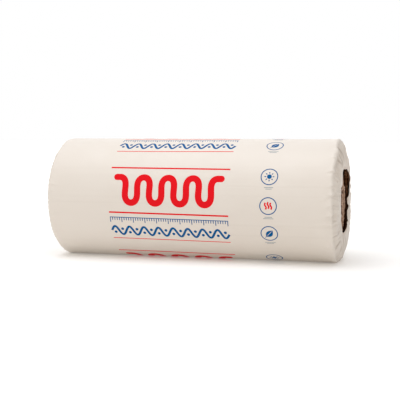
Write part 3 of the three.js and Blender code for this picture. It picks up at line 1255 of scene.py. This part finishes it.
# ---------------------------------------------------------------- frame
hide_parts("film_wrap")
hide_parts("wool_roll")
for piece, slot in ((film, "film"), (ink, "film"), (wool, "wool")):
    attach(piece, "root")

# ---------------------------------------------------------------- stage
floor_me = bpy.data.meshes.new("floor")
floor_me.from_pydata([(-30, -30, 0), (30, -30, 0), (30, 30, 0), (-30, 30, 0)], [], [(0, 1, 2, 3)])
floor = add_object(floor_me)
n = Nodes("floor")
n.set(Base_Color=(0.90, 0.885, 0.862), Roughness=0.7)
n.bsdf.inputs["Specular IOR Level"].default_value = 0.2
# the floor glows everywhere, though it is no lamp: more far from the roll, so that it fades into the white behind it,
# and a little more under the roll, which lightens the shadow there and the light that comes back from it onto the
# roll's underside
away = n.add("ShaderNodeVectorMath", operation="LENGTH")
n.link(n.coords(), away.inputs[0])
far = n.ramp(away.outputs["Value"], 0.6, 3.2, 0.09, 0.36)
under = n.add("ShaderNodeVectorMath", operation="LENGTH")
n.link(n.coords((0.30, 1, 1)), under.inputs[0])
n.set(Emission_Color=(1, 0.975, 0.94), Emission_Strength=n.math("ADD", far, n.ramp(under.outputs["Value"], 0.10, 0.42, 0.055, 0.0)))
floor.data.materials.append(n.mat)

# A white studio: the light comes mostly from above, in front and the left.
world = bpy.data.worlds.new("studio")
world.use_nodes = True
tree = world.node_tree
tree.nodes.clear()
coord = tree.nodes.new("ShaderNodeTexCoord")
dot = tree.nodes.new("ShaderNodeVectorMath")
dot.operation = "DOT_PRODUCT"
dot.inputs[1].default_value = Vector((-0.62, -0.55, 0.56)).normalized()
strength = tree.nodes.new("ShaderNodeMapRange")
for key, value in (("From Min", -1.0), ("From Max", 1.0), ("To Min", 0.46), ("To Max", 0.98)):
    strength.inputs[key].default_value = value
# the white behind the roll gives light too
behind = tree.nodes.new("ShaderNodeVectorMath")
behind.operation = "DOT_PRODUCT"
behind.inputs[1].default_value = Vector((-0.42, 0.85, 0.25)).normalized()
glow = tree.nodes.new("ShaderNodeMapRange")
glow.interpolation_type = "SMOOTHSTEP"
for key, value in (("From Min", 0.60), ("From Max", 1.0), ("To Min", 0.0), ("To Max", 0.55)):
    glow.inputs[key].default_value = value
total = tree.nodes.new("ShaderNodeMath")
lit, seen = tree.nodes.new("ShaderNodeBackground"), tree.nodes.new("ShaderNodeBackground")
seen.inputs["Strength"].default_value = 1.0
rays, either = tree.nodes.new("ShaderNodeLightPath"), tree.nodes.new("ShaderNodeMixShader")
end = tree.nodes.new("ShaderNodeOutputWorld")
for a, b in (
    (coord.outputs["Generated"], dot.inputs[0]),
    (dot.outputs["Value"], strength.inputs["Value"]),
    (coord.outputs["Generated"], behind.inputs[0]),
    (behind.outputs["Value"], glow.inputs["Value"]),
    (strength.outputs["Result"], total.inputs[0]),
    (glow.outputs["Result"], total.inputs[1]),
    (total.outputs[0], lit.inputs["Strength"]),
    (rays.outputs["Is Camera Ray"], either.inputs[0]),
    (lit.outputs[0], either.inputs[1]),
    (seen.outputs[0], either.inputs[2]),
    (either.outputs[0], end.inputs["Surface"]),
):
    tree.links.new(a, b)
height = tree.nodes.new("ShaderNodeSeparateXYZ")
tint = tree.nodes.new("ShaderNodeMix")
tint.data_type = "RGBA"
tint.inputs["A"].default_value = (1.0, 0.975, 0.935, 1)
tint.inputs["B"].default_value = (0.985, 1.0, 1.04, 1)
tree.links.new(coord.outputs["Generated"], height.inputs[0])
tree.links.new(height.outputs["Z"], tint.inputs["Factor"])
tree.links.new(tint.outputs["Result"], lit.inputs["Color"])
seen.inputs["Color"].default_value = (1, 1, 1, 1)
bpy.context.scene.world = world


def area_light(name, place_at, aim, size, watts):
    data = bpy.data.lights.new(name, "AREA")
    data.shape, data.size, data.size_y = "RECTANGLE", size[0], size[1]
    data.energy = watts
    data.color = (0.985, 1.0, 1.03)
    ob = bpy.data.objects.new(name, data)
    ob.location = place_at
    ob.rotation_euler = (Vector(aim) - Vector(place_at)).to_track_quat("-Z", "Y").to_euler()
    bpy.context.scene.collection.objects.link(ob)


area_light("softbox", (-0.2, -0.6, 3.0), (0, 0, 0.25), (3.2, 2.4), 43)

# ---------------------------------------------------------------- camera
cam_data = bpy.data.cameras.new("camera")
cam = bpy.data.objects.new("camera", cam_data)
bpy.context.scene.collection.objects.link(cam)
azimuth, elevation, distance = math.radians(15.335), math.radians(4.36), 3.842
back = Vector(
    (
        math.sin(azimuth) * math.cos(elevation),
        -math.cos(azimuth) * math.cos(elevation),
        math.sin(elevation),
    )
)
cam.location = Vector((0, 0, AXIS_Z - 0.0040)) + back * distance
cam.rotation_mode = "QUATERNION"
cam.rotation_quaternion = (-back).to_track_quat("-Z", "Y")
cam_data.sensor_width = 36
cam_data.lens = 911.62 / 400 * 36
cam_data.shift_x, cam_data.shift_y = -0.0020, -0.00545
cam_data.clip_end = 100
bpy.context.scene.camera = cam
bpy.context.scene.view_settings.view_transform = "Standard"
